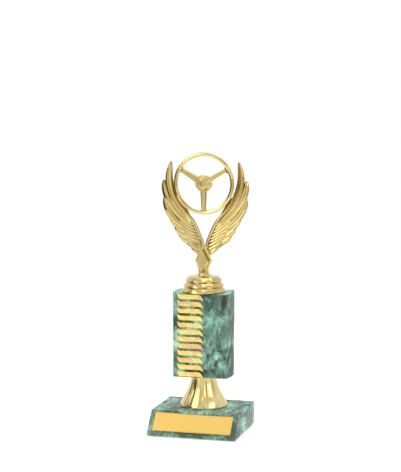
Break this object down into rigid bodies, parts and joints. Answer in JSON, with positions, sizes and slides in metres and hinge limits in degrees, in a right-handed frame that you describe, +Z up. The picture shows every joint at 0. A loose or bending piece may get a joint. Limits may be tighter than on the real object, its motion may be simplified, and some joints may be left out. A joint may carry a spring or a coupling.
{
  "type": "column trophy",
  "caption": "Column trophy: slanted marble base with name plate, fluted gold riser, marble column with foil bars, and a gold winged steering wheel figure.",
  "frame": {"origin": "on the table, under the middle of the base's footprint", "axes": "+Z up, +X to the right of the trophy as seen from its front, the slanted front faces -Y"},
  "size_m": [0.0912, 0.081, 0.2766],
  "materials": {
    "green_marble": "polished green marble with dark grey and mint veins",
    "marble_film": "glossy green marble pattern on plastic",
    "gold_metallised": "bright pale gold, vacuum-metallised and lacquered",
    "gold_plate": "satin gold anodised with a bright bevelled border",
    "holographic_foil": "gold holographic hot-stamped foil",
    "zinc_steel": "zinc plated",
    "insert_brass": "machined",
    "tape": "double-sided foam tape",
    "pad_felt": "dark green felt"
  },
  "bodies": {
    "base": {"base_block": "green_marble", "foot_pad_1": "pad_felt", "foot_pad_2": "pad_felt", "foot_pad_3": "pad_felt", "foot_pad_4": "pad_felt", "engraving_plate": "gold_plate", "plate_adhesive": "tape", "tie_rod": "zinc_steel", "clamp_nut": "zinc_steel", "clamp_washer": "zinc_steel"},
    "riser_body": {"riser": "gold_metallised"},
    "column": {"column_tube": "marble_film", "column_bottom_cap": "marble_film", "column_top_cap": "marble_film", "foil_bar_01": "holographic_foil", "foil_bar_02": "holographic_foil", "foil_bar_03": "holographic_foil", "foil_bar_04": "holographic_foil", "foil_bar_05": "holographic_foil", "foil_bar_06": "holographic_foil", "foil_bar_07": "holographic_foil", "foil_bar_08": "holographic_foil", "foil_bar_09": "holographic_foil", "foil_bar_10": "holographic_foil", "foil_bar_11": "holographic_foil", "foil_bar_12": "holographic_foil"},
    "figure": {"figure_base": "gold_metallised", "rod_insert": "insert_brass", "stem": "gold_metallised", "stem_lozenge": "gold_metallised", "left_wing": "gold_metallised", "right_wing": "gold_metallised", "wheel_rim": "gold_metallised", "wheel_spokes": "gold_metallised", "wheel_hub_cap": "gold_metallised"}
  },
  "joints": [
    {"name": "riser_turn", "type": "hinge", "parent": "base", "child": "riser_body", "pos_m": [0, 0.00915, 0.0235], "axis": [0, 0, 1], "continuous": true},
    {"name": "column_turn", "type": "hinge", "parent": "base", "child": "column", "pos_m": [0, 0.00915, 0.0547], "axis": [0, 0, 1], "continuous": true},
    {"name": "figure_turn", "type": "hinge", "parent": "base", "child": "figure", "pos_m": [0, 0.00915, 0.1383], "axis": [0, 0, 1], "continuous": true}
  ]
}
